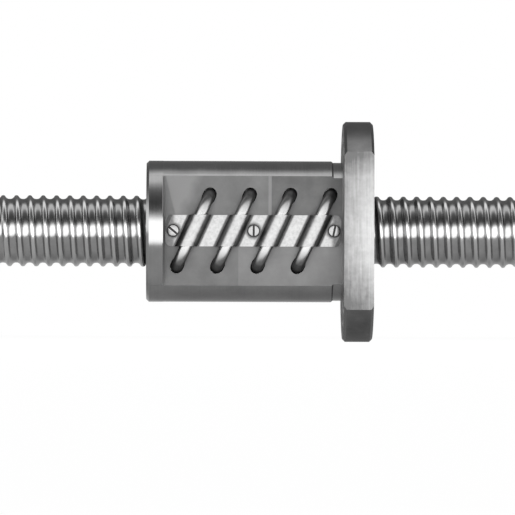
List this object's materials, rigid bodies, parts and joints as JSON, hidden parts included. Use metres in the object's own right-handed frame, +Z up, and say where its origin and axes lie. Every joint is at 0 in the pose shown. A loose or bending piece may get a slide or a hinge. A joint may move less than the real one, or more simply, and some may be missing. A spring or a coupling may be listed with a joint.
{
  "type": "ball screw",
  "caption": "Ball screw: a ground screw shaft with turned journals in a flanged nut, with outside ball return tubes held under a saddle clamp.",
  "frame": {"origin": "on the screw axis, in the plane of the flange face that seats on the housing", "axes": "+X along the screw axis from the free end of the nut to its flange, +Z up, the return tubes face -Y"},
  "size_m": [0.338, 0.0696, 0.099],
  "materials": {
    "nut_steel": "satin ground, lightly oiled",
    "screw_steel": "polished ball track, ground crests",
    "tube_steel": "bright drawn tube",
    "clamp_steel": "pressed sheet, bright",
    "fastener_steel": "bright turned",
    "spring_steel": "phosphated dark grey",
    "wiper_plastic": "moulded, matt"
  },
  "bodies": {
    "nut": {"nut_body": "nut_steel", "return_tube_1": "tube_steel", "return_tube_2": "tube_steel", "return_tube_3": "tube_steel", "return_tube_4": "tube_steel", "tube_clamp": "clamp_steel", "clamp_screw_1": "fastener_steel", "clamp_screw_2": "fastener_steel", "clamp_screw_3": "fastener_steel", "wiper_front": "wiper_plastic", "wiper_rear": "wiper_plastic"},
    "ring": {"retaining_ring": "spring_steel"},
    "screw": {"screw_shaft": "screw_steel"}
  },
  "joints": [
    {"name": "screw_travel", "type": "slide", "parent": "nut", "child": "ring", "axis": [1, 0, 0], "range_m": [-0.0601, 0.0601]},
    {"name": "screw_spin", "type": "hinge", "parent": "ring", "child": "screw", "pos_m": [0.0783, 0, 0], "axis": [1, 0, 0], "range_deg": [-3600, 3600]}
  ],
  "couplings": [
    {"joint": "screw_travel", "follows": "screw_spin", "m_per_rad": 0.00095493}
  ]
}
